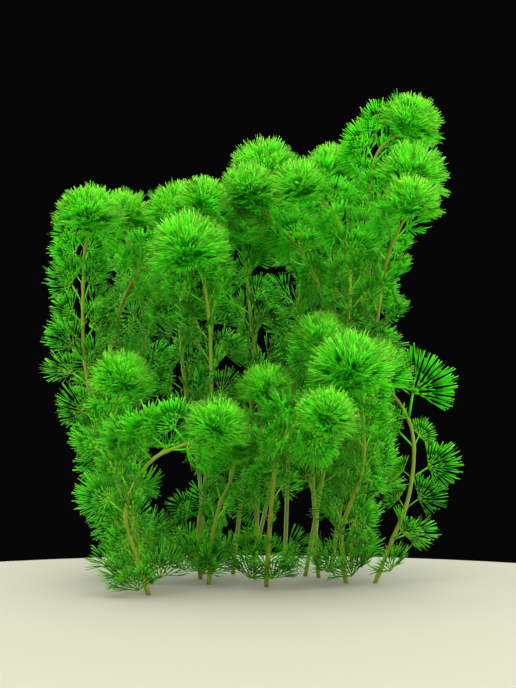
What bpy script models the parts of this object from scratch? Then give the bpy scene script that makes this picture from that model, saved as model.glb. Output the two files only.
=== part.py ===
# A stand of cabomba, a submerged water plant, cut off flat where it left the ground.
# Leafy stems stand close together. Each is one grown piece: a thin stalk with opposite
# pairs of lobed fan leaves on short leaf stalks, which rise more steeply than the fans
# that they carry. A domed crown of young leaves, a piece of its own, sits at each tip.
# X runs to the right, Y away from the front and Z up. Routes are in millimetres.

from math import asin, ceil, cos, pi, radians, sin, sqrt
from random import Random

import bmesh
import bpy
from mathutils import Quaternion, Vector
from mathutils.bvhtree import BVHTree
from mathutils.geometry import interpolate_bezier

MM = 0.001
TOUCH_GAP = 0.3 * MM
SHARP_ANGLE = radians(40)

STALK_SIDES = 6
STALK_STEP = 2 * pi / STALK_SIDES
STALK_RADIUS_FOOT = 1.35 * MM
STALK_RADIUS_TIP = 0.9 * MM
STALK_SAG = 1.2 * MM
STALK_TEST_MARGIN = 2 * MM
ROUTE_STEPS = 12
BEZIER_PARTS = 3

FIRST_NODE = 7 * MM
BARE_TIP = 0.35
NODE_HEIGHT = 1.8 * MM
INTERNODE_LOW = 16 * MM
INTERNODE_HIGH = 11 * MM
PAIRS_PER_SOLID_PAIR = 3

PETIOLE_LENGTH = 12 * MM
PETIOLE_RADIUS = 0.7 * MM
LEAF_RADIUS_LOW = 19 * MM
LEAF_RADIUS_HIGH = 20 * MM
LEAF_THICKNESS = 2.2 * MM
LEAF_LOBES = 5
LEAF_SPREAD = radians(180)
LEAF_NOTCH = 0.66
LEAF_CUP = 0.22
LEAF_CUP_EASE = 0.5
GROUND_CLEARANCE = 1.0 * MM
LEAF_WANDER = 14
LEAF_RISES = (12, 52)
LEAF_ROLLS = (20, 75)
LEAF_SIZES = (0.86, 1.1)
LOWEST_LEAVES = 14 * MM
LOWEST_RISES = (45, 75)
LOWEST_SIZES = (0.9, 1.1)
LOWEST_PETIOLE_RISE = radians(12)
PETIOLE_LIFT = radians(26)
FAN_BACK = 0.2
FLATTEST = 0.05
LEAF_FITS = (1.0, 0.85, 0.7)
LEAF_TEST_START = 0.35
LEAF_TEST_TAPER = 0.8
LEAF_TEST_MIDDLE = 0.2
LEAF_TEST_REACH = 1.3

CROWN_LOBES_BIG = 6
CROWN_LOBES_SMALL = 5
CROWN_NOTCH = 0.80
CROWN_NOTCH_LIFT = 0.08
CROWN_BUD = 0.18
CROWN_LEAN = 0.4
CROWN_LIGHT = Vector((0, -0.35, 1))
CROWN_FITS = (1.0, 0.9, 0.8, 0.7, 0.6, 0.5, 0.42)
BIG_CROWN = 20 * MM
CROWN_TEST_MIDDLE = 0.35
CROWN_TEST_REACH = 1.1

STALK_COLOUR = (0.045, 0.17, 0.018)
STALK_ROUGHNESS = 0.55
CROWN_COLOUR = (0.06, 0.42, 0.02)
CROWN_ROUGHNESS = 0.5

# Each stem: its name, the crown's radius, the bearing of its first pair of leaves and the
# turn from each pair to the next in degrees, the length at its foot that is bare of leaves,
# how far apart its nodes are in shares of the usual spacing, and the points that its stalk
# grows through, from the cut foot to the tip.
STEMS = [
    ("front_left", 21, -20, 75, 0, 0.95, [(-64, -24, 0), (-71, -27, 23), (-77, -30, 45), (-72, -35, 65),
                                          (-60, -40, 81), (-41, -45, 90), (-24, -46, 96)]),
    ("thin_centre", 14, 90, 20, 0, 1, [(-30, 20, 0), (-28, 22, 27), (-23, 20, 50), (-17, 15, 63),
                                       (-13, 5, 82)]),
    ("tall_left", 27, -90, 68, 0, 1, [(-36, 43, 0), (-37, 40, 32), (-33, 37, 59), (-29, 30, 115),
                                      (-30, 25, 162), (-34, 18, 188), (-41, 8, 200)]),
    ("front_centre", 20, -90, 68, 0, 0.8, [(5, 10, 0), (7, 2, 36), (9, -10, 64), (11, -20, 82),
                                           (20, -36, 98), (30, -49, 102), (38, -58, 103)]),
    ("mid_right", 28, 0, 68, 0, 1, [(54, 25, 0), (51, 20, 29), (55, 12, 47), (62, 0, 68), (63, -10, 93),
                                    (59, -18, 115), (54, -28, 127)]),
    ("right", 26, -15, 5, 7, 1.4, [(72, 25, 0), (82, 22, 26), (91, 20, 49), (95, 18, 74), (94, 20, 95),
                                   (86, 26, 112), (72, 27, 125)]),
    ("top_right", 23, 10, 10, 40, 1, [(69, 115, 0), (74, 108, 111), (74, 104, 177), (72, 100, 229),
                                      (76, 96, 265), (84, 93, 279), (98, 90, 287)]),
    ("upper_right", 25, 15, 68, 20, 1, [(61, 90, 0), (66, 80, 111), (70, 75, 176), (77, 70, 229),
                                        (87, 65, 244), (97, 60, 250)]),
    ("inner_right", 20, 0, 40, 30, 1, [(47, 80, 0), (62, 62, 99), (73, 50, 150), (78, 40, 188),
                                       (83, 31, 209), (93, 18, 230)]),
    ("arching", 20, -20, 68, 60, 1, [(30, 56, 0), (50, 46, 118), (57, 36, 169), (56, 28, 199),
                                     (51, 24, 219), (40, 21, 234), (27, 20, 240)]),
    ("upper_centre", 22, 10, 68, 70, 1, [(-4, 92, 0), (22, 92, 112), (40, 88, 174), (30, 80, 203),
                                         (16, 72, 220), (-5, 66, 241)]),
    ("back_centre", 27, 50, 68, 75, 1, [(18, 118, 0), (22, 118, 111), (27, 115, 167), (30, 112, 202),
                                        (24, 111, 235), (6, 112, 257)]),
    ("back_middle", 18, 20, 68, 60, 1, [(-16, 65, 0), (-3, 65, 125), (-6, 65, 176), (-10, 68, 215)]),
    ("far_left", 24, -96, 8, 0, 1, [(-85, 60, 0), (-98, 58, 81), (-107, 58, 117), (-111, 58, 150),
                                    (-110, 54, 200), (-106, 50, 223)]),
    ("left_diagonal", 24, 0, 68, 40, 1, [(-82, 80, 0), (-97, 86, 98), (-97, 86, 136), (-88, 86, 174),
                                         (-74, 88, 200), (-52, 92, 230)]),
    ("low_left", 21, -20, 40, 0, 1, [(-65, 21, 0), (-78, 20, 40), (-91, 15, 82), (-88, 10, 105),
                                     (-82, 5, 122)]),
    ("left_inner", 18, 60, 68, 90, 1, [(-35, 64, 0), (-37, 62, 60), (-46, 57, 119), (-49, 50, 163),
                                       (-43, 42, 197), (-34, 38, 233)]),
    ("left_back", 22, 30, 68, 60, 1, [(-92, 105, 0), (-78, 110, 121), (-76, 113, 154), (-80, 116, 190),
                                      (-90, 120, 229)]),
    ("short_right", 20, 60, 20, 50, 1, [(38, 48, 0), (34, 50, 76), (34, 46, 112), (38, 24, 147)]),
    ("back_right", 20, 0, 68, 60, 1, [(38, 134, 0), (47, 132, 124), (52, 128, 184), (50, 126, 262)]),
    ("short_centre", 20, 0, 68, 50, 1, [(-2, 42, 0), (0, 38, 51), (2, 26, 95), (5, 18, 116)]),
]

# Pairs of leaves that are solid besides every third pair, by stem and node.
MORE_SOLID_PAIRS = {
    ("right", 1), ("right", 2), ("right", 4), ("right", 5), ("far_left", 8), ("far_left", 10),
    ("far_left", 13), ("far_left", 14), ("top_right", 17), ("front_left", 5), ("inner_right", 11),
}

# Solid leaves that are set by hand, by stem, node and side: bearing, rise and roll in degrees,
# and size.
LEAF_POSES = {
    ("right", 0, 0): (-60, 60, 20, 1.0),
    ("right", 1, 0): (-10, -4, -40, 0.95),
    ("right", 1, 1): (-60, 5, -60, 0.95),
    ("right", 2, 0): (10, 10, 50, 0.85),
    ("right", 2, 1): (190, 30, 60, 0.6),
    ("right", 3, 0): (-15, 8, -70, 1.0),
    ("right", 3, 1): (200, 10, 50, 0.6),
    ("right", 4, 0): (10, 40, 65, 0.6),
    ("right", 5, 0): (-15, 54, -80, 1.4),
    ("top_right", 17, 0): (195, 40, 80, 1.0),
    ("top_right", 18, 0): (190, 65, -75, 1.05),
    ("far_left", 6, 1): (190, 20, 50, 1.05),
    ("far_left", 8, 1): (200, 10, 35, 1.05),
    ("far_left", 9, 1): (190, 30, 45, 1.1),
    ("far_left", 10, 1): (170, 15, -65, 0.85),
    ("far_left", 12, 1): (180, 35, 50, 1.15),
    ("far_left", 13, 1): (200, 30, 50, 0.7),
    ("far_left", 14, 1): (175, 30, -60, 0.85),
    ("front_left", 3, 0): (180, 15, -60, 1.05),
    ("front_left", 5, 0): (-10, 60, 40, 0.55),
    ("front_left", 5, 1): (190, 45, 55, 1.1),
    ("front_left", 6, 1): (190, 20, 50, 1.2),
    ("front_centre", 3, 0): (190, 12, -55, 0.95),
    ("front_centre", 3, 1): (-10, 60, 40, 0.5),
    ("inner_right", 9, 0): (-20, 28, 28, 1.0),
    ("inner_right", 11, 0): (-20, 36, 28, 0.95),
    ("inner_right", 12, 1): (-20, 20, 30, 0.75),
}


def grow_route(points):
    """Rows of (length so far, place, turn) along a smooth curve through the points.

    The turn carries Z onto the stalk's direction without twisting about it.
    """
    knots = [Vector(point) * MM for point in points]
    slopes = []
    for index in range(len(knots)):
        before = knots[max(index - 1, 0)]
        after = knots[min(index + 1, len(knots) - 1)]
        spans = 2 if 0 < index < len(knots) - 1 else 1
        slopes.append((after - before) / (BEZIER_PARTS * spans))
    places = [knots[0]]
    for index in range(len(knots) - 1):
        start, end = knots[index], knots[index + 1]
        span = interpolate_bezier(start, start + slopes[index], end - slopes[index + 1], end, ROUTE_STEPS)
        places.extend(span[1:])
    rows = []
    length = 0.0
    turn = Vector((0, 0, 1)).rotation_difference(places[1] - places[0])
    for index, place in enumerate(places):
        if index:
            length += (place - places[index - 1]).length
            heading = turn @ Vector((0, 0, 1))
            turn = heading.rotation_difference(place - places[index - 1]) @ turn
        rows.append((length, place, turn))
    return rows


def walk(rows, length):
    """The place and the turn at a length along the route."""
    for index in range(1, len(rows)):
        if rows[index][0] >= length or index == len(rows) - 1:
            start, end = rows[index - 1], rows[index]
            share = min(max((length - start[0]) / (end[0] - start[0]), 0), 1)
            return start[1].lerp(end[1], share), start[2].slerp(end[2], share)


def leaf_nodes(name, rows, crown_radius, bare, spacing):
    """Number and length along the stalk of each node that carries a solid pair of leaves.

    The nodes close up towards the crown, and at least every third pair is solid.
    """
    reach = rows[-1][0] - BARE_TIP * crown_radius
    nodes = []
    number = 0
    length = max(FIRST_NODE, bare)
    while length < reach:
        if number % PAIRS_PER_SOLID_PAIR == 0 or (name, number) in MORE_SOLID_PAIRS:
            nodes.append((number, length))
        number += 1
        length += spacing * (INTERNODE_LOW + (INTERNODE_HIGH - INTERNODE_LOW) * length / reach)
    return nodes


def ring_stretches(rows, nodes):
    """For each node and last for the tip, the lengths of the stalk's rings up to it.

    There are two rings at a node, and more between nodes where the stalk bends.
    """
    stretches = []
    start = 0.0
    ends = [[length - NODE_HEIGHT / 2, length + NODE_HEIGHT / 2] for _, length in nodes] + [[rows[-1][0]]]
    for end in ends:
        chord = (walk(rows, start)[0] + walk(rows, end[0])[0]) / 2
        sag = (walk(rows, (start + end[0]) / 2)[0] - chord).length
        parts = ceil(sqrt(max(sag / STALK_SAG, 1)))
        between = [start + (end[0] - start) * part / parts for part in range(1, parts)]
        stretches.append(between + end)
        start = end[-1]
    return stretches


def leaf_frame(name, number, side, place, turn, bearing, share):
    """Where a leaf's hub is, and the directions of its fan: forward, across and up."""
    draw = Random(f"{name} {number} {side}")
    angle = bearing + side * pi + radians(draw.uniform(-LEAF_WANDER, LEAF_WANDER))
    lowest = place.z < LOWEST_LEAVES
    rise = radians(draw.uniform(*(LOWEST_RISES if lowest else LEAF_RISES)))
    roll = radians(draw.uniform(*LEAF_ROLLS)) * (1 if (number + side) % 2 else -1)
    size = draw.uniform(*(LOWEST_SIZES if lowest else LEAF_SIZES))
    if (name, number, side) in LEAF_POSES:
        *pose, size = LEAF_POSES[name, number, side]
        angle, rise, roll = (radians(degrees) for degrees in pose)
        turn = Quaternion()
    outward = turn @ Vector((cos(angle), sin(angle), 0))
    along = turn @ Vector((0, 0, 1))
    petiole_rise = LOWEST_PETIOLE_RISE if lowest else rise + PETIOLE_LIFT
    hub = place + (outward * cos(petiole_rise) + along * sin(petiole_rise)) * (PETIOLE_LENGTH * size)
    forward = (outward * cos(rise) + along * sin(rise)).normalized()
    radius = size * (LEAF_RADIUS_LOW + (LEAF_RADIUS_HIGH - LEAF_RADIUS_LOW) * share)
    room = (hub.z - GROUND_CLEARANCE) / radius - FAN_BACK * sin(rise)
    steepest = asin(min(max(room / cos(rise), FLATTEST), 1))
    roll = min(max(roll, -steepest), steepest)
    across = Quaternion(forward, roll) @ forward.cross(along).normalized()
    up = across.cross(forward)
    return hub, forward, across, up, radius


def fan_rim(hub, forward, across, up, radius):
    """The fan's outline from one side of the hub to the other: tips with notches between."""
    rim = []
    steps = 2 * LEAF_LOBES - 1
    for step in range(steps):
        angle = LEAF_SPREAD * (0.5 - step / (steps - 1))
        reach = radius * (LEAF_NOTCH if step % 2 else 1.0)
        lift = LEAF_CUP * reach * (1 - LEAF_CUP_EASE * abs(cos(angle)))
        rim.append(hub + forward * reach * cos(angle) + across * reach * sin(angle) + up * lift)
    return rim


def leaf_test(place, hub, forward, across, up, radius):
    """A slightly swollen copy of a leaf, to see whether it would meet anything."""
    root = place + (hub - place) * LEAF_TEST_START
    half_width = PETIOLE_RADIUS + TOUCH_GAP
    half_height = LEAF_THICKNESS / 2 + TOUCH_GAP
    arms = [across * half_width, up * half_height, -across * half_width, -up * half_height]
    points = [root + arm * LEAF_TEST_TAPER for arm in arms] + [hub + arm for arm in arms]
    points += fan_rim(hub, forward, across, up, radius + 2 * TOUCH_GAP)
    faces = [(arm, (arm + 1) % 4, 4 + (arm + 1) % 4, 4 + arm) for arm in range(4)]
    edge = [4] + list(range(8, len(points))) + [6]
    for first, second in zip(edge, edge[1:]):
        faces.append((5, first, second))
        faces.append((7, first, second))
    centre = hub + forward * (LEAF_TEST_MIDDLE * radius)
    return BVHTree.FromPolygons(points, faces), centre, LEAF_TEST_REACH * radius


def meets(test, centre, reach, obstacles):
    """Whether a test shape meets any obstacle near it."""
    for other, other_centre, other_reach in obstacles:
        near = (centre - other_centre).length < reach + other_reach
        if near and test.overlap(other):
            return True
    return False


def extend(bm, face):
    """Extrude one face where it stands and give the new end face."""
    return bmesh.ops.extrude_discrete_faces(bm, faces=[face])["faces"][0]


def start_prism(corners):
    """A closed prism and its upper face."""
    bm = bmesh.new()
    bmesh.ops.create_cone(bm, cap_ends=True, segments=corners, radius1=MM, radius2=MM, depth=MM)
    return bm, max(bm.faces, key=lambda face: face.calc_center_median().z)


def corner_below(vert, high):
    """The lower corner of a fresh prism, under one of its upper corners."""
    return next(edge.other_vert(vert) for edge in vert.link_edges if high not in list(edge.link_faces))


def spoke(radius, angle):
    return Vector((radius * cos(angle), radius * sin(angle), 0))


def stalk_radius(share):
    return STALK_RADIUS_FOOT + (STALK_RADIUS_TIP - STALK_RADIUS_FOOT) * share


def set_stalk_ring(face, rows, length, offset):
    """Move the corners of the stalk's end face onto a ring about its route."""
    place, turn = walk(rows, length)
    radius = stalk_radius(length / rows[-1][0])
    for corner, vert in enumerate(face.verts):
        vert.co = place + turn @ spoke(radius, offset + corner * STALK_STEP)


def grow_leaf(bm, face, hub, forward, across, up, radius):
    """Extrude a leaf stalk from a side face of the stem and open it into a lobed fan."""
    tip = extend(bm, face)
    centre = tip.calc_center_median()
    ring = list(tip.verts)
    aims = [across, up, -across, -up]
    orders = [[(start + step * index) % 4 for index in range(4)] for start in range(4) for step in (1, -1)]
    order = max(orders, key=lambda order: sum((vert.co - centre).dot(aims[aim])
                                              for vert, aim in zip(ring, order)))
    corners = {}
    for vert, aim in zip(ring, order):
        vert.co = hub + aims[aim] * (LEAF_THICKNESS / 2 if aim % 2 else PETIOLE_RADIUS)
        corners[aim] = vert
    bmesh.ops.delete(bm, geom=[tip], context="FACES_ONLY")
    rim = [bm.verts.new(point) for point in fan_rim(hub, forward, across, up, radius)]
    edge = [corners[0]] + rim + [corners[2]]
    for first, second in zip(edge, edge[1:]):
        bm.faces.new((corners[1], first, second))
        bm.faces.new((corners[3], second, first))


def finish_object(name, bm, material):
    """Turn a closed bmesh into a named, smooth-shaded object."""
    bmesh.ops.recalc_face_normals(bm, faces=bm.faces)
    mesh = bpy.data.meshes.new(name)
    bm.to_mesh(mesh)
    bm.free()
    mesh.shade_smooth()
    mesh.set_sharp_from_angle(angle=SHARP_ANGLE)
    mesh.materials.append(material)
    piece = bpy.data.objects.new(name, mesh)
    bpy.context.scene.collection.objects.link(piece)
    return piece


def make_material(name, colour, roughness):
    material = bpy.data.materials.new(name)
    material.use_nodes = True
    shader = material.node_tree.nodes["Principled BSDF"]
    shader.inputs["Base Color"].default_value = (*colour, 1)
    shader.inputs["Roughness"].default_value = roughness
    shader.inputs["Metallic"].default_value = 0
    return material


def stalk_test(rows, nodes):
    """The stalk's tube with its clearance, as an obstacle for crowns and leaves."""
    lengths = [0.0] + [length for stretch in ring_stretches(rows, nodes) for length in stretch]
    points, faces = [], []
    for index, length in enumerate(lengths):
        place, turn = walk(rows, length)
        radius = stalk_radius(length / rows[-1][0]) + TOUCH_GAP
        points += [place + turn @ spoke(radius, corner * STALK_STEP) for corner in range(STALK_SIDES)]
        for corner in range(STALK_SIDES if index else 0):
            low, high = STALK_SIDES * (index - 1), STALK_SIDES * index
            following = (corner + 1) % STALK_SIDES
            faces.append((low + corner, low + following, high + following, high + corner))
    centre = (rows[0][1] + rows[-1][1]) / 2
    reach = max((place - centre).length for _, place, _ in rows) + STALK_TEST_MARGIN
    return BVHTree.FromPolygons(points, faces), centre, reach


def crown_rings(radius, big):
    """Rings of a crown from its base up: radius, height, and 1 or -1 where it is lobed."""
    rings = [(0.05, 0.0, 0), (1.0, -0.04, 1), (0.16, 0.24, 0)]
    if big:
        rings += [(0.88, 0.38, -1), (0.14, 0.50, 0), (0.56, 0.74, 1)]
    else:
        rings += [(0.78, 0.54, -1)]
    return [(share * radius, height * radius, lobed) for share, height, lobed in rings]


def crown_corner(corner, corners, spin, ring_radius, height, lobed):
    """A corner of a crown's ring. The notches of a lobed ring are drawn in and lifted."""
    notch = lobed and (corner % 2 == 0) == (lobed > 0)
    reach = ring_radius * (CROWN_NOTCH if notch else 1)
    lift = CROWN_NOTCH_LIFT * ring_radius if notch else 0
    return spoke(reach, spin + corner * 2 * pi / corners) + Vector((0, 0, height + lift))


def grow_crown(base, turn, radius, spin, big):
    """A domed rosette: whorls of lobes, each a wide rim above a narrow waist."""
    corners = 2 * (CROWN_LOBES_BIG if big else CROWN_LOBES_SMALL)
    bm, top = start_prism(corners)
    rings = crown_rings(radius, big)
    for corner, vert in enumerate(top.verts):
        corner_below(vert, top).co = base + turn @ crown_corner(corner, corners, spin, *rings[0])
    for ring in rings[1:]:
        if ring is not rings[1]:
            top = extend(bm, top)
        for corner, vert in enumerate(top.verts):
            vert.co = base + turn @ crown_corner(corner, corners, spin, *ring)
    pole = bmesh.ops.poke(bm, faces=[top])["verts"][0]
    pole.co = base + turn @ Vector((0, 0, rings[-1][1] + CROWN_BUD * radius))
    return bm


def crown_place(tip, tip_turn):
    """Where a crown's base is and how it is turned: it leans from its stalk to the light."""
    heading = tip_turn @ Vector((0, 0, 1))
    aim = (heading * CROWN_LEAN + CROWN_LIGHT).normalized()
    gap = TOUCH_GAP + STALK_RADIUS_TIP * sin(heading.angle(aim))
    return tip + aim * gap, heading.rotation_difference(aim) @ tip_turn


def fit_crown(base, turn, radius, spin, obstacles):
    """The largest crown that stays clear of its neighbours, and its own test shape."""
    big = radius >= BIG_CROWN
    for share in CROWN_FITS:
        fitted = radius * share
        swollen = grow_crown(base + turn @ Vector((0, 0, TOUCH_GAP)), turn, fitted + TOUCH_GAP, spin, big)
        centre = base + turn @ Vector((0, 0, CROWN_TEST_MIDDLE * fitted))
        test = BVHTree.FromBMesh(swollen), centre, CROWN_TEST_REACH * fitted
        swollen.free()
        if not meets(*test, obstacles):
            break
    return grow_crown(base, turn, fitted, spin, big), test


def fit_leaf(place, frame, obstacles):
    """The largest fan at this place that stays clear of everything, or None."""
    hub, forward, across, up, radius = frame
    for share in LEAF_FITS:
        test = leaf_test(place, hub, forward, across, up, radius * share)
        if not meets(*test, obstacles):
            return radius * share, test
    return None


def side_face(end, corner):
    """The side face of the stalk below one edge of its end face."""
    corners = list(end.verts)
    pair = {corners[corner % STALK_SIDES], corners[(corner + 1) % STALK_SIDES]}
    edge = next(edge for edge in end.edges if set(edge.verts) == pair)
    return next(face for face in edge.link_faces if face is not end)


def grow_stem(name, bearing, pair_turn, rows, nodes, obstacles):
    """One stalk from its flat cut to its tip, with the leaves that have room to open."""
    bm, end = start_prism(STALK_SIDES)
    for corner, vert in enumerate(end.verts):
        corner_below(vert, end).co = rows[0][1] + spoke(STALK_RADIUS_FOOT, corner * STALK_STEP)
    fresh = True
    offset = 0.0
    stretches = ring_stretches(rows, nodes)
    for (number, length), stretch in zip(nodes + [(None, None)], stretches):
        if number is not None:
            pair_bearing = radians(bearing + pair_turn * number)
            steps = round((pair_bearing - offset) / STALK_STEP - 0.5)
            offset = pair_bearing - (steps + 0.5) * STALK_STEP
        for ring in stretch:
            end = end if fresh else extend(bm, end)
            fresh = False
            set_stalk_ring(end, rows, ring, offset)
        if number is not None:
            place, turn = walk(rows, length)
            for side in (0, 1):
                frame = leaf_frame(name, number, side, place, turn, pair_bearing, length / rows[-1][0])
                fit = fit_leaf(place, frame, obstacles)
                if fit:
                    radius, obstacle = fit
                    obstacles.append(obstacle)
                    grow_leaf(bm, side_face(end, steps + side * STALK_SIDES // 2), *frame[:4], radius)
    return bm


def centre_on_ground(pieces):
    """Put the middle of the whole stand's box over the origin, with the cuts at z = 0."""
    corners = [vert.co for piece in pieces for vert in piece.data.vertices]
    middle_x = (min(co.x for co in corners) + max(co.x for co in corners)) / 2
    middle_y = (min(co.y for co in corners) + max(co.y for co in corners)) / 2
    for piece in pieces:
        for vert in piece.data.vertices:
            vert.co.x -= middle_x
            vert.co.y -= middle_y


for old in list(bpy.data.objects):
    bpy.data.objects.remove(old, do_unlink=True)

stalk_material = make_material("leafy_stem", STALK_COLOUR, STALK_ROUGHNESS)
crown_material = make_material("young_leaf", CROWN_COLOUR, CROWN_ROUGHNESS)

stand = []
obstacles = []
routes, nodes = {}, {}
for name, crown_radius, _, _, bare, spacing, points in STEMS:
    routes[name] = grow_route(points)
    nodes[name] = leaf_nodes(name, routes[name], crown_radius * MM, bare * MM, spacing)
    obstacles.append(stalk_test(routes[name], nodes[name]))
for name, crown_radius, _, _, _, _, _ in STEMS:
    _, tip, tip_turn = routes[name][-1]
    base, turn = crown_place(tip, tip_turn)
    spin = Random(name).uniform(0, pi)
    crown, crown_obstacle = fit_crown(base, turn, crown_radius * MM, spin, obstacles)
    obstacles.append(crown_obstacle)
    stand.append(finish_object(f"crown_{name}", crown, crown_material))
for name, _, bearing, pair_turn, _, _, _ in STEMS:
    stem = grow_stem(name, bearing, pair_turn, routes[name], nodes[name], obstacles)
    stand.append(finish_object(f"stem_{name}", stem, stalk_material))
centre_on_ground(stand)
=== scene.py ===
"""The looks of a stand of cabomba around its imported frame: stalks, thread-like leaves and crowns."""

from math import asin, cos, exp, pi, radians, sin
from random import Random

import bmesh
import bpy
import numpy as np
from mathutils import Matrix, Quaternion, Vector
from mathutils.geometry import interpolate_bezier


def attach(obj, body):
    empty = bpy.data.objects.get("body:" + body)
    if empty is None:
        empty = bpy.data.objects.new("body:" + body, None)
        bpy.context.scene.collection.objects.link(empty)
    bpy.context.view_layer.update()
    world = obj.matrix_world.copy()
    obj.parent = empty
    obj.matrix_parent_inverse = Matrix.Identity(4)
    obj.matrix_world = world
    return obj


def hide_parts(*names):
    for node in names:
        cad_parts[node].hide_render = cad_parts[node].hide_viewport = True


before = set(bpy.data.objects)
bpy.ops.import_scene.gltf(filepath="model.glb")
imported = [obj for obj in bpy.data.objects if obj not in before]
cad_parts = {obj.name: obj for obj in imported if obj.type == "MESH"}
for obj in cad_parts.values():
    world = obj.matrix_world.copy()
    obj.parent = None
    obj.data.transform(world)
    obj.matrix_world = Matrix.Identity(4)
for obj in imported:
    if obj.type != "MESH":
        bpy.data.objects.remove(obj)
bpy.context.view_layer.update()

# THE LEAF FAN. A leaf is one grown piece: a short leaf stalk splits at a hub into five ribs, and
# they fork again and again into threads about half a millimetre wide. A template has its hub
# at the origin and a radius of 1, and opens along +X as a slightly cupped fan.
FAN_RIBS = 5
FAN_CUP = 0.22
FAN_CUP_EASE = 0.5
SIDE_SHORTENING = 0.10
RIB_STRETCHES = (0.88, 1.06)
THREAD_REACHES = (0.84, 1.04)
THREAD_WANDER = 0.2
THREAD_SIDES = 3
HUB_REACH = 0.06
PETIOLE_SHARE = 0.60
PETIOLE_WIDTH = 0.032
PETIOLE_FOOT = -0.9 * PETIOLE_SHARE
PETIOLE_BAND = 0.05
OLD_SPREAD = radians(176)
OLD_FORKS = (2, 2, 3)
FULL_FORKS = (2, 2, 4)
OLD_REACHES = (0.17, 0.34, 0.55, 1.08)
OLD_WIDTHS = (0.030, 0.025, 0.021, 0.018, 0.015)
OLD_DEPTH = 0.13
YOUNG_SPREAD = radians(150)
YOUNG_FORKS = (4, 4)
YOUNG_REACHES = (0.14, 0.36, 0.99)
YOUNG_WIDTHS = (0.030, 0.024, 0.019, 0.013)
YOUNG_DEPTH = 0.12
TEMPLATES = 8


def add_thread(bm, start, end, start_width, end_width, blunt):
    """A straight three-sided thread, closed at both ends. A blunt one is flat at its tip."""
    run = end - start
    place = Matrix.Translation((start + end) / 2) @ run.to_track_quat("Z", "Y").to_matrix().to_4x4()
    ring = bmesh.ops.create_cone(bm, cap_ends=True, segments=THREAD_SIDES, radius1=start_width,
                                 radius2=end_width, depth=run.length, matrix=place)["verts"]
    if blunt:
        pair = sorted(ring, key=lambda vert: (vert.co - end).length)[:2]
        bmesh.ops.pointmerge(bm, verts=pair, merge_co=(pair[0].co + pair[1].co) / 2)


def grow_rib(bm, draw, start, sector, level, forks, reaches, widths, depth, stretch):
    """One stretch of a rib, and the stretches that it forks into over its sector of the fan."""
    middle, width = sector
    last = level == len(forks)
    angle = middle + width * draw.uniform(-THREAD_WANDER, THREAD_WANDER)
    reach = reaches[level] * stretch * draw.uniform(*THREAD_REACHES)
    reach *= 1 - SIDE_SHORTENING * abs(angle) / radians(90)
    height = start.z + draw.uniform(-depth, depth) * reach
    end = Vector((reach * cos(angle), reach * sin(angle), height))
    add_thread(bm, start, end, widths[level], widths[level + 1], last)
    if not last:
        step = width / forks[level]
        for branch in range(forks[level]):
            part = (middle + step * (branch + 0.5 - forks[level] / 2), step)
            grow_rib(bm, draw, end, part, level + 1, forks, reaches, widths, depth, stretch)


def fan_template(seed, spread, forks, reaches, widths, depth):
    """Corner and triangle arrays of one fan with its leaf stalk, and each corner's reach."""
    draw = Random(seed)
    bm = bmesh.new()
    hub = Vector((0, 0, 0))
    add_thread(bm, Vector((-PETIOLE_SHARE, 0, 0)), hub, PETIOLE_WIDTH, PETIOLE_WIDTH, False)
    step = spread / FAN_RIBS
    for rib in range(FAN_RIBS):
        sector = (step * (rib + 0.5) - spread / 2, step)
        grow_rib(bm, draw, hub, sector, 0, forks, reaches, widths, depth, draw.uniform(*RIB_STRETCHES))
    for vert in bm.verts:
        reach = vert.co.xy.length
        if reach > HUB_REACH and vert.co.x > PETIOLE_FOOT:
            vert.co.z += FAN_CUP * reach * (1 - FAN_CUP_EASE * abs(vert.co.x) / reach)
    bmesh.ops.recalc_face_normals(bm, faces=bm.faces)
    bmesh.ops.triangulate(bm, faces=bm.faces)
    bm.verts.index_update()
    corners = np.array([vert.co[:] for vert in bm.verts])
    triangles = np.array([[vert.index for vert in face.verts] for face in bm.faces])
    bm.free()
    reach = np.linalg.norm(corners, axis=1)
    petiole = (np.abs(corners[:, 1]) < PETIOLE_BAND) & (corners[:, 0] < 0)
    reach[(reach < HUB_REACH) | petiole] = 0
    return corners, triangles, np.clip(reach, 0, 1)


def fan_templates(kind, *shape):
    """Several fans of one kind, each with draws of its own."""
    return [fan_template(f"{kind} {seed}", *shape) for seed in range(TEMPLATES)]


old_fans = fan_templates("old", OLD_SPREAD, OLD_FORKS, OLD_REACHES, OLD_WIDTHS, OLD_DEPTH)
full_fans = fan_templates("full", OLD_SPREAD, FULL_FORKS, OLD_REACHES, OLD_WIDTHS, OLD_DEPTH)
young_fans = fan_templates("young", YOUNG_SPREAD, YOUNG_FORKS, YOUNG_REACHES, YOUNG_WIDTHS, YOUNG_DEPTH)


class Foliage:
    """Leaves gathered from the fan templates until they are joined into one mesh."""

    def __init__(self):
        self.corners, self.triangles, self.reach, self.young, self.tone = [], [], [], [], []
        self.total = 0

    def add(self, template, foot, hub, forward, across, up, radius, young, tone):
        """Add a fan at its hub, with its leaf stalk drawn out to the foot."""
        corners, triangles, reach = template
        turn = np.array([forward, -across, up]) * radius
        placed = corners @ turn + np.array(hub)
        template_foot = hub - forward * (PETIOLE_SHARE * radius)
        placed[corners[:, 0] < PETIOLE_FOOT] += np.array(foot - template_foot)
        self.corners.append(placed)
        self.triangles.append(triangles + self.total)
        self.reach.append(reach)
        self.young.append(np.full(len(corners), young))
        self.tone.append(np.full(len(corners), tone))
        self.total += len(corners)


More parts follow.
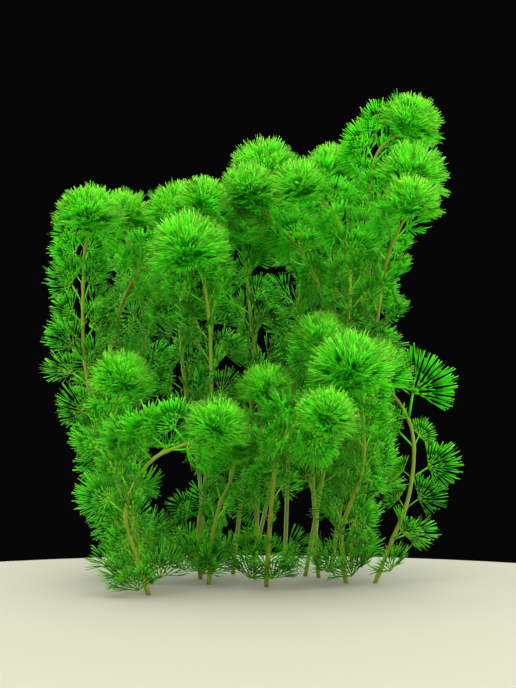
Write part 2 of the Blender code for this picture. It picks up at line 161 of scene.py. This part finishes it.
# THE LEAF'S COLOUR. Young threads near a crown are bright lime, palest at the hub, and old
# leaves low on the stem are deep green, partly by their age and partly as painted shade low in
# the stand. The young fans' lighter middles and pale hubs are partly painted light in the
# shaded middle of a crown, and their darker tips partly painted shade. A leaf is moist, with a
# faint sheen, and light shines through its thin threads.
MM = 0.001
# The old greens are deep partly by age and partly as painted shade low in the stand.
OLD_SHADED_GREEN = (0.015, 0.108, 0.004)
OLD_SHADED_TIP_GREEN = (0.020, 0.135, 0.006)
OLD_HUB = (0.16, 0.36, 0.015)
# The young greens are lighter inside and darker at the tips: partly their own colour, partly painted light
# in a crown's shaded middle and painted shade on its lit tips.
YOUNG_LIT_INNER_GREEN = (0.020, 0.780, 0.001)
YOUNG_SHADED_TIP_GREEN = (0.022, 0.450, 0.006)
# The hub is paler: partly its own yellow-green, partly painted light in the shaded middle of a crown.
YOUNG_PALE_LIT_HUB = (0.12, 0.92, 0.005)
HUB_PALE_AND_LIT_FROM = 0.02
HUB_PALE_AND_LIT_TO = 0.45
HUB_PALENESS_AND_LIGHT = 0.65
TONE_RANGE = 0.62
TONE_FLOOR = 0.50
LEAF_ROUGHNESS = 0.6
LEAF_SHEEN = 0.08
LIGHT_THROUGH = (0.3, 1.0, 0.1)
LIGHT_DEPTH = 3 * MM


def mix_colour(nodes, links, factor, first, second):
    """A Mix node of two colours or sockets."""
    mix = nodes.new("ShaderNodeMix")
    mix.data_type = "RGBA"
    links.new(factor, mix.inputs["Factor"])
    for socket, value in ((mix.inputs["A"], first), (mix.inputs["B"], second)):
        if isinstance(value, tuple):
            socket.default_value = (*value, 1)
        else:
            links.new(value, socket)
    return mix.outputs["Result"]


def leaf_material():
    """Green by age and painted shade low down, and by reach from the hub with painted light near it, with
    each leaf's own tone.
    """
    material = bpy.data.materials.new("cabomba_leaf")
    material.use_nodes = True
    nodes, links = material.node_tree.nodes, material.node_tree.links
    shader = nodes["Principled BSDF"]
    shader.inputs["Roughness"].default_value = LEAF_ROUGHNESS
    shader.inputs["Specular IOR Level"].default_value = LEAF_SHEEN
    shader.inputs["Subsurface Weight"].default_value = 1.0
    shader.inputs["Subsurface Radius"].default_value = LIGHT_THROUGH
    shader.inputs["Subsurface Scale"].default_value = LIGHT_DEPTH
    sockets = {}
    for name in ("reach", "young", "tone"):
        attribute = nodes.new("ShaderNodeAttribute")
        attribute.attribute_name = name
        sockets[name] = attribute.outputs["Fac"]
    # Deep green for old leaves to lime for young ones: partly age, and partly painted shade on leaves low
    # in the stand.
    inner = mix_colour(nodes, links, sockets["young"], OLD_SHADED_GREEN, YOUNG_LIT_INNER_GREEN)
    outer = mix_colour(nodes, links, sockets["young"], OLD_SHADED_TIP_GREEN, YOUNG_SHADED_TIP_GREEN)
    # Young fans lighter near the hub and darker at the tips: partly their own colour, partly painted light
    # in a crown's shaded middle and painted shade on its lit tips.
    blade = mix_colour(nodes, links, sockets["reach"], inner, outer)
    # Paler near the hub: partly the hub's own yellow-green, partly painted light in the shaded middle of a
    # crown.
    hub_pale_and_lit = nodes.new("ShaderNodeMapRange")
    hub_pale_and_lit.inputs["From Min"].default_value = HUB_PALE_AND_LIT_FROM
    hub_pale_and_lit.inputs["From Max"].default_value = HUB_PALE_AND_LIT_TO
    hub_pale_and_lit.inputs["To Min"].default_value = HUB_PALENESS_AND_LIGHT
    hub_pale_and_lit.inputs["To Max"].default_value = 0.0
    links.new(sockets["reach"], hub_pale_and_lit.inputs["Value"])
    hub = mix_colour(nodes, links, sockets["young"], OLD_HUB, YOUNG_PALE_LIT_HUB)
    hubbed = mix_colour(nodes, links, hub_pale_and_lit.outputs["Result"], blade, hub)
    shade = nodes.new("ShaderNodeMath")
    shade.operation = "MULTIPLY_ADD"
    shade.inputs[1].default_value = TONE_RANGE
    shade.inputs[2].default_value = TONE_FLOOR
    links.new(sockets["tone"], shade.inputs[0])
    tinted = nodes.new("ShaderNodeHueSaturation")
    links.new(hubbed, tinted.inputs["Color"])
    links.new(shade.outputs[0], tinted.inputs["Value"])
    links.new(tinted.outputs["Color"], shader.inputs["Base Color"])
    return material


leaf_finish = leaf_material()

# THE STALKS. Each stem is a round, slightly swollen-jointed stalk two to three millimetres
# thick, olive green and in places reddish brown. It stands on its flat cut. Its route is the
# frame's: the same points in millimetres, moved to where the frame's foot stands.
STALK_SIDES = 8
STALK_RADIUS_FOOT = 1.35 * MM
STALK_RADIUS_TIP = 0.9 * MM
STALK_RING_STEP = 3 * MM
ROUTE_STEPS = 12
BEZIER_PARTS = 3
NODE_SWELL = 0.35
NODE_SWELL_LENGTH = 1.6 * MM
FIRST_NODE = 7 * MM
BARE_TIP = 0.35
FOOT_NODES = (5 * MM, 11.5 * MM)
INTERNODE_LOW = 16 * MM
INTERNODE_HIGH = 11 * MM
CUT_HEIGHT = 0.01 * MM
STALK_GREEN = (0.19, 0.34, 0.012)
STALK_BROWN = (0.22, 0.095, 0.012)
STALK_ROUGHNESS = 0.4
STALK_SHEEN = 0.2
STREAK_SCALE = 700
STREAK_DETAIL = 3
STREAK_LENGTH = (1, 1, 0.12)
STREAK_BROWN = 0.5
STREAK_START = 0.25
STREAK_BUMP = 0.3
STREAK_DEPTH = 0.1 * MM

# Each stem: its name, crown radius, bearing of the first pair of leaves and turn from pair to
# pair, bare length, spacing of its nodes against the usual one, brownness from 0 to 1, and
# route. Lengths are in millimetres and angles in degrees.
STEMS = [
    ("front_left", 21, -20, 75, 0, 0.95, 0.3, [(-64, -24, 0), (-71, -27, 23), (-77, -30, 45),
                                               (-72, -35, 65), (-60, -40, 81), (-41, -45, 90),
                                               (-24, -46, 96)]),
    ("thin_centre", 14, 90, 20, 0, 1, 0.2, [(-30, 20, 0), (-28, 22, 27), (-23, 20, 50), (-17, 15, 63),
                                            (-13, 5, 82)]),
    ("tall_left", 27, -90, 68, 0, 1, 0.2, [(-36, 43, 0), (-37, 40, 32), (-33, 37, 59), (-29, 30, 115),
                                           (-30, 25, 162), (-34, 18, 188), (-41, 8, 200)]),
    ("front_centre", 20, -90, 68, 0, 0.8, 0.5, [(5, 10, 0), (7, 2, 36), (9, -10, 64), (11, -20, 82),
                                                (20, -36, 98), (30, -49, 102), (38, -58, 103)]),
    ("mid_right", 28, 0, 68, 0, 1, 0.2, [(54, 25, 0), (51, 20, 29), (55, 12, 47), (62, 0, 68),
                                         (63, -10, 93), (59, -18, 115), (54, -28, 127)]),
    ("right", 26, -15, 5, 7, 1.4, 0.3, [(72, 25, 0), (82, 22, 26), (91, 20, 49), (95, 18, 74), (94, 20, 95),
                                        (86, 26, 112), (72, 27, 125)]),
    ("top_right", 23, 10, 10, 40, 1, 0.2, [(69, 115, 0), (74, 108, 111), (74, 104, 177), (72, 100, 229),
                                           (76, 96, 265), (84, 93, 279), (98, 90, 287)]),
    ("upper_right", 25, 15, 68, 20, 1, 0.4, [(61, 90, 0), (66, 80, 111), (70, 75, 176), (77, 70, 229),
                                             (87, 65, 244), (97, 60, 250)]),
    ("inner_right", 20, 0, 40, 30, 1, 0.3, [(47, 80, 0), (62, 62, 99), (73, 50, 150), (78, 40, 188),
                                            (83, 31, 209), (93, 18, 230)]),
    ("arching", 20, -20, 68, 60, 1, 0.0, [(30, 56, 0), (50, 46, 118), (57, 36, 169), (56, 28, 199),
                                          (51, 24, 219), (40, 21, 234), (27, 20, 240)]),
    ("upper_centre", 22, 10, 68, 70, 1, 0.1, [(-4, 92, 0), (22, 92, 112), (40, 88, 174), (30, 80, 203),
                                              (16, 72, 220), (-5, 66, 241)]),
    ("back_centre", 27, 50, 68, 75, 1, 0.3, [(18, 118, 0), (22, 118, 111), (27, 115, 167), (30, 112, 202),
                                             (24, 111, 235), (6, 112, 257)]),
    ("back_middle", 18, 20, 68, 60, 1, 0.2, [(-16, 65, 0), (-3, 65, 125), (-6, 65, 176), (-10, 68, 215)]),
    ("far_left", 24, -96, 8, 0, 1, 0.4, [(-85, 60, 0), (-98, 58, 81), (-107, 58, 117), (-111, 58, 150),
                                         (-110, 54, 200), (-106, 50, 223)]),
    ("left_diagonal", 24, 0, 68, 40, 1, 0.8, [(-82, 80, 0), (-97, 86, 98), (-97, 86, 136), (-88, 86, 174),
                                              (-74, 88, 200), (-52, 92, 230)]),
    ("low_left", 21, -20, 40, 0, 1, 0.2, [(-65, 21, 0), (-78, 20, 40), (-91, 15, 82), (-88, 10, 105),
                                          (-82, 5, 122)]),
    ("left_inner", 18, 60, 68, 90, 1, 0.0, [(-35, 64, 0), (-37, 62, 60), (-46, 57, 119), (-49, 50, 163),
                                            (-43, 42, 197), (-34, 38, 233)]),
    ("left_back", 22, 30, 68, 60, 1, 0.9, [(-92, 105, 0), (-78, 110, 121), (-76, 113, 154), (-80, 116, 190),
                                           (-90, 120, 229)]),
    ("short_right", 20, 60, 20, 50, 1, 0.2, [(38, 48, 0), (34, 50, 76), (34, 46, 112), (38, 24, 147)]),
    ("back_right", 20, 0, 68, 60, 1, 0.3, [(38, 134, 0), (47, 132, 124), (52, 128, 184), (50, 126, 262)]),
    ("short_centre", 20, 0, 68, 50, 1, 0.3, [(-2, 42, 0), (0, 38, 51), (2, 26, 95), (5, 18, 116)]),
]


def foot_of(node):
    """The middle of a frame stem's flat cut."""
    cuts = [vert.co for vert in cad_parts[node].data.vertices if vert.co.z < CUT_HEIGHT]
    low = Vector((min(cut.x for cut in cuts), min(cut.y for cut in cuts), 0))
    high = Vector((max(cut.x for cut in cuts), max(cut.y for cut in cuts), 0))
    return (low + high) / 2


stand_shift = foot_of("stem_front_left") - Vector(STEMS[0][-1][0]) * MM


def grow_route(points):
    """Rows of (length so far, place, turn) along a smooth curve through the points."""
    knots = [Vector(point) * MM + stand_shift for point in points]
    slopes = []
    for index in range(len(knots)):
        before = knots[max(index - 1, 0)]
        after = knots[min(index + 1, len(knots) - 1)]
        spans = 2 if 0 < index < len(knots) - 1 else 1
        slopes.append((after - before) / (BEZIER_PARTS * spans))
    places = [knots[0]]
    for index in range(len(knots) - 1):
        start, end = knots[index], knots[index + 1]
        span = interpolate_bezier(start, start + slopes[index], end - slopes[index + 1], end, ROUTE_STEPS)
        places.extend(span[1:])
    rows = []
    length = 0.0
    turn = Vector((0, 0, 1)).rotation_difference(places[1] - places[0])
    for index, place in enumerate(places):
        if index:
            length += (place - places[index - 1]).length
            heading = turn @ Vector((0, 0, 1))
            turn = heading.rotation_difference(place - places[index - 1]) @ turn
        rows.append((length, place, turn))
    return rows


def walk(rows, length):
    """The place and the turn at a length along the route."""
    for index in range(1, len(rows)):
        if rows[index][0] >= length or index == len(rows) - 1:
            start, end = rows[index - 1], rows[index]
            share = min(max((length - start[0]) / (end[0] - start[0]), 0), 1)
            return start[1].lerp(end[1], share), start[2].slerp(end[2], share)


def leaf_nodes(rows, crown_radius, bare, spacing):
    """Number and length along the stalk of each node, closer towards the crown.

    A stem that is leafy from the ground has two more nodes at its foot, with numbers below zero.
    """
    reach = rows[-1][0] - BARE_TIP * crown_radius
    nodes = [] if bare else [(-1 - extra, length) for extra, length in enumerate(FOOT_NODES)]
    number = 0
    length = max(FIRST_NODE, bare)
    while length < reach:
        nodes.append((number, length))
        number += 1
        length += spacing * (INTERNODE_LOW + (INTERNODE_HIGH - INTERNODE_LOW) * length / reach)
    return nodes


def grow_stalk(rows, nodes):
    """A round stalk, extruded ring by ring along its route and swollen at each node."""
    bm = bmesh.new()
    bmesh.ops.create_circle(bm, cap_ends=True, segments=STALK_SIDES, radius=STALK_RADIUS_FOOT)
    end = next(iter(bm.faces))
    total = rows[-1][0]
    for vert in end.verts:
        vert.co += rows[0][1]
    rings = [index * STALK_RING_STEP for index in range(1, int(total / STALK_RING_STEP))] + [total]
    spokes = [Vector(vert.co) - rows[0][1] for vert in end.verts]
    grown = bmesh.ops.extrude_face_region(bm, geom=[end])["geom"]
    top = next(item for item in grown if isinstance(item, bmesh.types.BMFace))
    for ring, length in enumerate(rings):
        if ring > 0:
            top = bmesh.ops.extrude_discrete_faces(bm, faces=[top])["faces"][0]
        place, turn = walk(rows, length)
        thick = 1 + (STALK_RADIUS_TIP / STALK_RADIUS_FOOT - 1) * length / total
        nearest = min(abs(length - node) for _, node in nodes)
        thick *= 1 + NODE_SWELL * exp(-((nearest / NODE_SWELL_LENGTH) ** 2))
        for vert, spoke in zip(top.verts, spokes):
            vert.co = place + turn @ (spoke * thick)
    bmesh.ops.recalc_face_normals(bm, faces=bm.faces)
    return bm


def stalk_material():
    """Olive stalk, browner where its brown attribute says, streaked along its length."""
    material = bpy.data.materials.new("cabomba_stalk")
    material.use_nodes = True
    nodes, links = material.node_tree.nodes, material.node_tree.links
    shader = nodes["Principled BSDF"]
    shader.inputs["Roughness"].default_value = STALK_ROUGHNESS
    shader.inputs["Specular IOR Level"].default_value = STALK_SHEEN
    brown = nodes.new("ShaderNodeAttribute")
    brown.attribute_name = "brown"
    coordinates = nodes.new("ShaderNodeTexCoord")
    stretch = nodes.new("ShaderNodeMapping")
    stretch.inputs["Scale"].default_value = STREAK_LENGTH
    links.new(coordinates.outputs["Object"], stretch.inputs["Vector"])
    streaks = nodes.new("ShaderNodeTexNoise")
    streaks.inputs["Scale"].default_value = STREAK_SCALE
    streaks.inputs["Detail"].default_value = STREAK_DETAIL
    links.new(stretch.outputs["Vector"], streaks.inputs["Vector"])
    amount = nodes.new("ShaderNodeMath")
    amount.operation = "MULTIPLY_ADD"
    amount.use_clamp = True
    amount.inputs[1].default_value = STREAK_BROWN
    links.new(streaks.outputs["Fac"], amount.inputs[0])
    links.new(brown.outputs["Fac"], amount.inputs[2])
    less = nodes.new("ShaderNodeMath")
    less.operation = "SUBTRACT"
    less.use_clamp = True
    less.inputs[1].default_value = STREAK_START
    links.new(amount.outputs[0], less.inputs[0])
    colour = mix_colour(nodes, links, less.outputs[0], STALK_GREEN, STALK_BROWN)
    links.new(colour, shader.inputs["Base Color"])
    bump = nodes.new("ShaderNodeBump")
    bump.inputs["Strength"].default_value = STREAK_BUMP
    bump.inputs["Distance"].default_value = STREAK_DEPTH
    links.new(streaks.outputs["Fac"], bump.inputs["Height"])
    links.new(bump.outputs["Normal"], shader.inputs["Normal"])
    return material


stalk_finish = stalk_material()

# THE LEAFY STEMS. Pairs of opposite leaves grow from each swollen node, turned on from pair to
# pair. Each leaf stands where the frame's solid fan stands, and between those are the pairs
# that the frame leaves out. Leaves turn from deep green low down to lime under the crown,
# partly by age and partly by painted shade lower in the stand.
PETIOLE_LENGTH = 12 * MM
LEAF_RADIUS_LOW = 19 * MM
LEAF_RADIUS_HIGH = 20 * MM
GROUND_CLEARANCE = 1.0 * MM
LEAF_WANDER = 14
LEAF_RISES = (12, 52)
LEAF_ROLLS = (20, 75)
LEAF_SIZES = (0.86, 1.1)
LOWEST_LEAVES = 14 * MM
LOWEST_RISES = (45, 75)
LOWEST_SIZES = (0.9, 1.1)
LOWEST_PETIOLE_RISE = radians(12)
PETIOLE_LIFT = radians(26)
FAN_BACK = 0.2
FLATTEST = 0.05
FULL_FANS_FROM = 0.68
# How a leaf's young value rises with height and near its tip: partly age, and partly painted shade on the
# leaves lower down.
SHORT_STEM = 150 * MM
AGE_AND_SHADE_RUN_SHORT = 90 * MM
AGE_AND_SHADE_RUN_TALL = 35 * MM
AGE_AND_SHADE_RISE = 100 * MM
AGE_AND_SHADE_AT_TIP = 0.7
AGE_AND_SHADE_START = 1.7
YOUNG_SCATTER = 0.1

# Leaves that are set one by one, by stem, node and side: bearing, rise and roll in degrees, and
# size. Their bearing and rise are from the stand's own axes, whatever way the stalk leans.
LEAF_POSES = {
    ("right", 0, 0): (-60, 60, 20, 1.0),
    ("right", 1, 0): (-10, -4, -40, 0.95),
    ("right", 1, 1): (-60, 5, -60, 0.95),
    ("right", 2, 0): (10, 10, 50, 0.85),
    ("right", 2, 1): (190, 30, 60, 0.6),
    ("right", 3, 0): (-15, 8, -70, 1.0),
    ("right", 3, 1): (200, 10, 50, 0.6),
    ("right", 4, 0): (10, 40, 65, 0.6),
    ("right", 5, 0): (-15, 54, -80, 1.4),
    ("top_right", 17, 0): (195, 40, 80, 1.0),
    ("top_right", 18, 0): (190, 65, -75, 1.05),
    ("far_left", 6, 1): (190, 20, 50, 1.05),
    ("far_left", 7, 1): (100, 30, 50, 0.8),
    ("far_left", 8, 1): (200, 10, 35, 1.05),
    ("far_left", 9, 1): (190, 30, 45, 1.1),
    ("far_left", 10, 1): (170, 15, -65, 0.85),
    ("far_left", 11, 1): (180, 20, 60, 0.8),
    ("far_left", 12, 1): (180, 35, 50, 1.15),
    ("far_left", 13, 1): (200, 30, 50, 0.7),
    ("far_left", 14, 1): (175, 30, -60, 0.85),
    ("front_left", 3, 0): (180, 15, -60, 1.05),
    ("front_left", 4, 1): (185, 40, 50, 1.0),
    ("front_left", 5, 0): (-10, 60, 40, 0.55),
    ("front_left", 5, 1): (190, 45, 55, 1.1),
    ("front_left", 6, 1): (190, 20, 50, 1.2),
    ("front_left", 7, 0): (200, 14, 50, 1.1),
    ("front_left", 8, 0): (215, 22, 45, 1.05),
    ("low_left", 2, 0): (-60, 40, 40, 0.7),
    ("tall_left", 1, 1): (200, 10, 50, 0.95),
    ("tall_left", 2, 1): (185, 15, -50, 0.75),
    ("mid_right", 1, 0): (-20, 25, 60, 1.05),
    ("front_centre", 1, 0): (-20, -10, 60, 0.95),
    ("front_centre", 1, 1): (250, 20, 30, 0.6),
    ("front_centre", 2, 0): (-30, 60, 40, 0.5),
    ("front_centre", 2, 1): (200, -15, 40, 0.7),
    ("front_centre", 3, 0): (190, 12, -55, 0.95),
    ("front_centre", 3, 1): (-10, 60, 40, 0.5),
    ("front_centre", 4, 1): (-15, 30, 50, 0.8),
    ("thin_centre", 1, 1): (300, 30, 40, 0.6),
    ("inner_right", 9, 0): (-20, 28, 28, 1.0),
    ("inner_right", 10, 0): (110, 30, 40, 0.5),
    ("inner_right", 11, 0): (-20, 36, 28, 0.95),
    ("inner_right", 12, 1): (-20, 20, 30, 0.75),
    ("inner_right", 13, 1): (-20, 24, 30, 0.75),
    ("inner_right", 14, 1): (-20, 22, 40, 1.1),
}


def leaf_frame(name, number, side, place, turn, bearing, share):
    """Where a leaf's hub is, and the directions of its fan: forward, across and up."""
    draw = Random(f"{name} {number} {side}")
    angle = bearing + side * pi + radians(draw.uniform(-LEAF_WANDER, LEAF_WANDER))
    lowest = place.z < LOWEST_LEAVES
    rise = radians(draw.uniform(*(LOWEST_RISES if lowest else LEAF_RISES)))
    roll = radians(draw.uniform(*LEAF_ROLLS)) * (1 if (number + side) % 2 else -1)
    size = draw.uniform(*(LOWEST_SIZES if lowest else LEAF_SIZES))
    if (name, number, side) in LEAF_POSES:
        *pose, size = LEAF_POSES[name, number, side]
        angle, rise, roll = (radians(degrees) for degrees in pose)
        turn = Quaternion()
    outward = turn @ Vector((cos(angle), sin(angle), 0))
    along = turn @ Vector((0, 0, 1))
    petiole_rise = LOWEST_PETIOLE_RISE if lowest else rise + PETIOLE_LIFT
    hub = place + (outward * cos(petiole_rise) + along * sin(petiole_rise)) * (PETIOLE_LENGTH * size)
    forward = (outward * cos(rise) + along * sin(rise)).normalized()
    radius = size * (LEAF_RADIUS_LOW + (LEAF_RADIUS_HIGH - LEAF_RADIUS_LOW) * share)
    room = (hub.z - GROUND_CLEARANCE) / radius - FAN_BACK * sin(rise)
    steepest = asin(min(max(room / cos(rise), FLATTEST), 1))
    roll = min(max(roll, -steepest), steepest)
    across = Quaternion(forward, roll) @ forward.cross(along).normalized()
    up = across.cross(forward)
    return hub, forward, across, up, radius


def finish_piece(name, node, foliage, stalk=None, brown=0.0):
    """Join leaves, and the stalk if there is one, into one named piece that replaces a node."""
    corners = np.concatenate(foliage.corners)
    triangles = np.concatenate(foliage.triangles)
    values = {key: np.concatenate(getattr(foliage, key)) for key in ("reach", "young", "tone")}
    leaf_count = len(triangles)
    if stalk:
        bmesh.ops.triangulate(stalk, faces=stalk.faces)
        stalk_corners = np.array([vert.co[:] for vert in stalk.verts])
        stalk_triangles = np.array([[vert.index for vert in face.verts] for face in stalk.faces])
        stalk.free()
        triangles = np.concatenate([triangles, stalk_triangles + len(corners)])
        corners = np.concatenate([corners, stalk_corners])
        for key in values:
            values[key] = np.concatenate([values[key], np.zeros(len(stalk_corners))])
        values["brown"] = np.full(len(corners), brown)
    mesh = bpy.data.meshes.new(name)
    mesh.from_pydata(corners.tolist(), [], triangles.tolist())
    for key, numbers in values.items():
        mesh.attributes.new(key, "FLOAT", "POINT").data.foreach_set("value", numbers.astype(np.float32))
    mesh.materials.append(leaf_finish)
    if stalk:
        mesh.materials.append(stalk_finish)
        finishes = (np.arange(len(triangles)) >= leaf_count).astype(np.int32)
        mesh.polygons.foreach_set("material_index", finishes)
    mesh.shade_smooth()
    piece = bpy.data.objects.new(name, mesh)
    bpy.context.scene.collection.objects.link(piece)
    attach(piece, "root")
    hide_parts(node)


for name, crown_radius, bearing, pair_turn, bare, spacing, brown, points in STEMS:
    rows = grow_route(points)
    nodes = leaf_nodes(rows, crown_radius * MM, bare * MM, spacing)
    age_and_shade_run = AGE_AND_SHADE_RUN_SHORT if rows[-1][1].z < SHORT_STEM else AGE_AND_SHADE_RUN_TALL
    foliage = Foliage()
    for number, length in nodes:
        place, turn = walk(rows, length)
        share = length / rows[-1][0]
        pair_bearing = radians(bearing + pair_turn * number)
        for side in (0, 1):
            draw = Random(f"look {name} {number} {side}")
            template = draw.choice(full_fans if share > FULL_FANS_FROM else old_fans)
            # A leaf's young value is high in the stand and close under its own crown: partly its age, and
            # partly painted shade on the leaves lower down and further from the tip.
            age_and_shade_by_height = place.z / AGE_AND_SHADE_RISE + AGE_AND_SHADE_AT_TIP * share ** 3 - AGE_AND_SHADE_START
            age_and_shade_by_tip = 1 - (rows[-1][0] - length) / age_and_shade_run
            young = max(age_and_shade_by_height, age_and_shade_by_tip) + draw.uniform(-YOUNG_SCATTER, YOUNG_SCATTER)
            leaf = leaf_frame(name, number, side, place, turn, pair_bearing, share)
            foliage.add(template, place, *leaf, min(max(young, 0), 1), draw.random())
    stalk = grow_stalk(rows, nodes)
    finish_piece(f"leafy_stem_{name}", f"stem_{name}", foliage, stalk, brown)

# THE CROWNS. At each tip the nodes close up until the young fans make one domed rosette:
# a wide flat whorl below, ever steeper whorls above it, and a bud of small leaves in the
# middle. It is bright lime, grows on the stalk's end and leans to the light.
CROWN_LEAN = 0.4
CROWN_LIGHT = Vector((0, -0.35, 1))
CROWN_WANDER = 9
CROWN_RISE_WANDER = 6
CROWN_ROLL = 24
CROWN_SIZES = (0.90, 1.06)
CROWN_AGES = (0.85, 1.05)
CROWN_TONES = (0.58, 0.90)

# For each whorl: how many fans, height, reach and hub distance in shares of the crown's
# radius, and the fans' rise in degrees.
CROWN_WHORLS = [
    (7, 0.00, 1.04, 0.20, 0),
    (7, 0.03, 1.06, 0.18, 20),
    (6, 0.05, 1.04, 0.15, 42),
    (6, 0.06, 1.02, 0.12, 62),
    (4, 0.06, 1.00, 0.08, 80),
    (5, 0.02, 0.50, 0.06, 28),
    (2, 0.06, 0.60, 0.04, 70),
]


def crown_turn(tip_turn):
    """The crown's turn: it leans from its stalk's direction to the light."""
    heading = tip_turn @ Vector((0, 0, 1))
    aim = (heading * CROWN_LEAN + CROWN_LIGHT).normalized()
    return heading.rotation_difference(aim) @ tip_turn


for name, crown_radius, *_, points in STEMS:
    _, tip, tip_turn = grow_route(points)[-1]
    turn = crown_turn(tip_turn)
    radius = crown_radius * MM
    foliage = Foliage()
    for whorl, (count, height, reach, hub_share, rise_degrees) in enumerate(CROWN_WHORLS):
        for leaf in range(count):
            draw = Random(f"crown {name} {whorl} {leaf}")
            angle = 2 * pi * (leaf + 0.5 * (whorl % 2)) / count
            angle += radians(draw.uniform(-CROWN_WANDER, CROWN_WANDER))
            rise = radians(rise_degrees + draw.uniform(-CROWN_RISE_WANDER, CROWN_RISE_WANDER))
            outward = turn @ Vector((cos(angle), sin(angle), 0))
            along = turn @ Vector((0, 0, 1))
            forward = (outward * cos(rise) + along * sin(rise)).normalized()
            roll = radians(draw.uniform(-CROWN_ROLL, CROWN_ROLL))
            across = Quaternion(forward, roll) @ forward.cross(along).normalized()
            up = across.cross(forward)
            size = (reach - hub_share) * radius * draw.uniform(*CROWN_SIZES)
            hub = tip + along * (height * radius) + forward * (hub_share * radius)
            foliage.add(draw.choice(young_fans), tip, hub, forward, across, up, size,
                        draw.uniform(*CROWN_AGES), draw.uniform(*CROWN_TONES))
    finish_piece(f"young_crown_{name}", f"crown_{name}", foliage)

# THE FLOOR. The stand is on a plain round board, matt and pale, that ends a little way behind
# its rear stems.
FLOOR_RADIUS = 0.42
FLOOR_BACK = 0.12
FLOOR_SIDES = 96
FLOOR_COLOUR = (0.42, 0.38, 0.31)
FLOOR_ROUGHNESS = 0.85
bm = bmesh.new()
bmesh.ops.create_circle(bm, cap_ends=True, segments=FLOOR_SIDES, radius=FLOOR_RADIUS,
                        matrix=Matrix.Translation((0, FLOOR_BACK - FLOOR_RADIUS, 0)))
floor_mesh = bpy.data.meshes.new("floor")
bm.to_mesh(floor_mesh)
bm.free()
floor = bpy.data.objects.new("floor", floor_mesh)
bpy.context.scene.collection.objects.link(floor)
floor_finish = bpy.data.materials.new("floor")
floor_finish.use_nodes = True
floor_shader = floor_finish.node_tree.nodes["Principled BSDF"]
floor_shader.inputs["Base Color"].default_value = (*FLOOR_COLOUR, 1)
floor_shader.inputs["Roughness"].default_value = FLOOR_ROUGHNESS
floor_mesh.materials.append(floor_finish)

# THE LIGHT. A large soft light hangs above and in front, with weaker ones at the left, the
# right and behind. An even light comes from all round, and the room is dark to the camera.
LIGHT_AIM = Vector((0, 0, 0.15))
FILL_COLOUR = (0.9, 1.0, 0.9)
FILL_STRENGTH = 1.6
ROOM_COLOUR = (0.002, 0.002, 0.002)


def add_light(name, place, side, power):
    """A square soft light that looks at the middle of the stand, unseen by the camera."""
    lamp = bpy.data.lights.new(name, "AREA")
    lamp.shape = "SQUARE"
    lamp.size = side
    lamp.energy = power
    light = bpy.data.objects.new(name, lamp)
    light.location = place
    light.rotation_euler = (LIGHT_AIM - Vector(place)).to_track_quat("-Z", "Y").to_euler()
    light.visible_camera = False
    bpy.context.scene.collection.objects.link(light)


add_light("overhead_light", place=(0.05, -0.40, 1.1), side=0.9, power=4)
add_light("left_light", place=(-0.8, -0.9, 0.6), side=0.8, power=2.5)
add_light("right_light", place=(0.9, -0.7, 0.5), side=0.8, power=2)
add_light("back_light", place=(0.1, 0.9, 0.8), side=0.6, power=1.5)

world = bpy.data.worlds.new("studio")
world.use_nodes = True
world_nodes, world_links = world.node_tree.nodes, world.node_tree.links
fill = world_nodes["Background"]
fill.inputs["Color"].default_value = (*FILL_COLOUR, 1)
fill.inputs["Strength"].default_value = FILL_STRENGTH
dark = world_nodes.new("ShaderNodeBackground")
dark.inputs["Color"].default_value = (*ROOM_COLOUR, 1)
seen = world_nodes.new("ShaderNodeLightPath")
choose = world_nodes.new("ShaderNodeMixShader")
world_links.new(seen.outputs["Is Camera Ray"], choose.inputs["Fac"])
world_links.new(fill.outputs["Background"], choose.inputs[1])
world_links.new(dark.outputs["Background"], choose.inputs[2])
world_links.new(choose.outputs["Shader"], world_nodes["World Output"].inputs["Surface"])
bpy.context.scene.world = world
bpy.context.scene.view_settings.view_transform = "Standard"

# THE CAMERA. It looks level from a metre in front of the point that the routes are measured
# from, a little under half as high as the stand. The picture's long side spans 0.413 m there.
CAMERA_DISTANCE = 1.0
CAMERA_HEIGHT = 0.147
FRAME_LONG_SIDE = 0.4128
SENSOR_MM = 36
camera_data = bpy.data.cameras.new("camera")
camera_data.sensor_width = SENSOR_MM
camera_data.lens = SENSOR_MM * CAMERA_DISTANCE / FRAME_LONG_SIDE
camera = bpy.data.objects.new("camera", camera_data)
camera.location = stand_shift + Vector((0, -CAMERA_DISTANCE, CAMERA_HEIGHT))
camera.rotation_euler = (pi / 2, 0, 0)
bpy.context.scene.collection.objects.link(camera)
bpy.context.scene.camera = camera
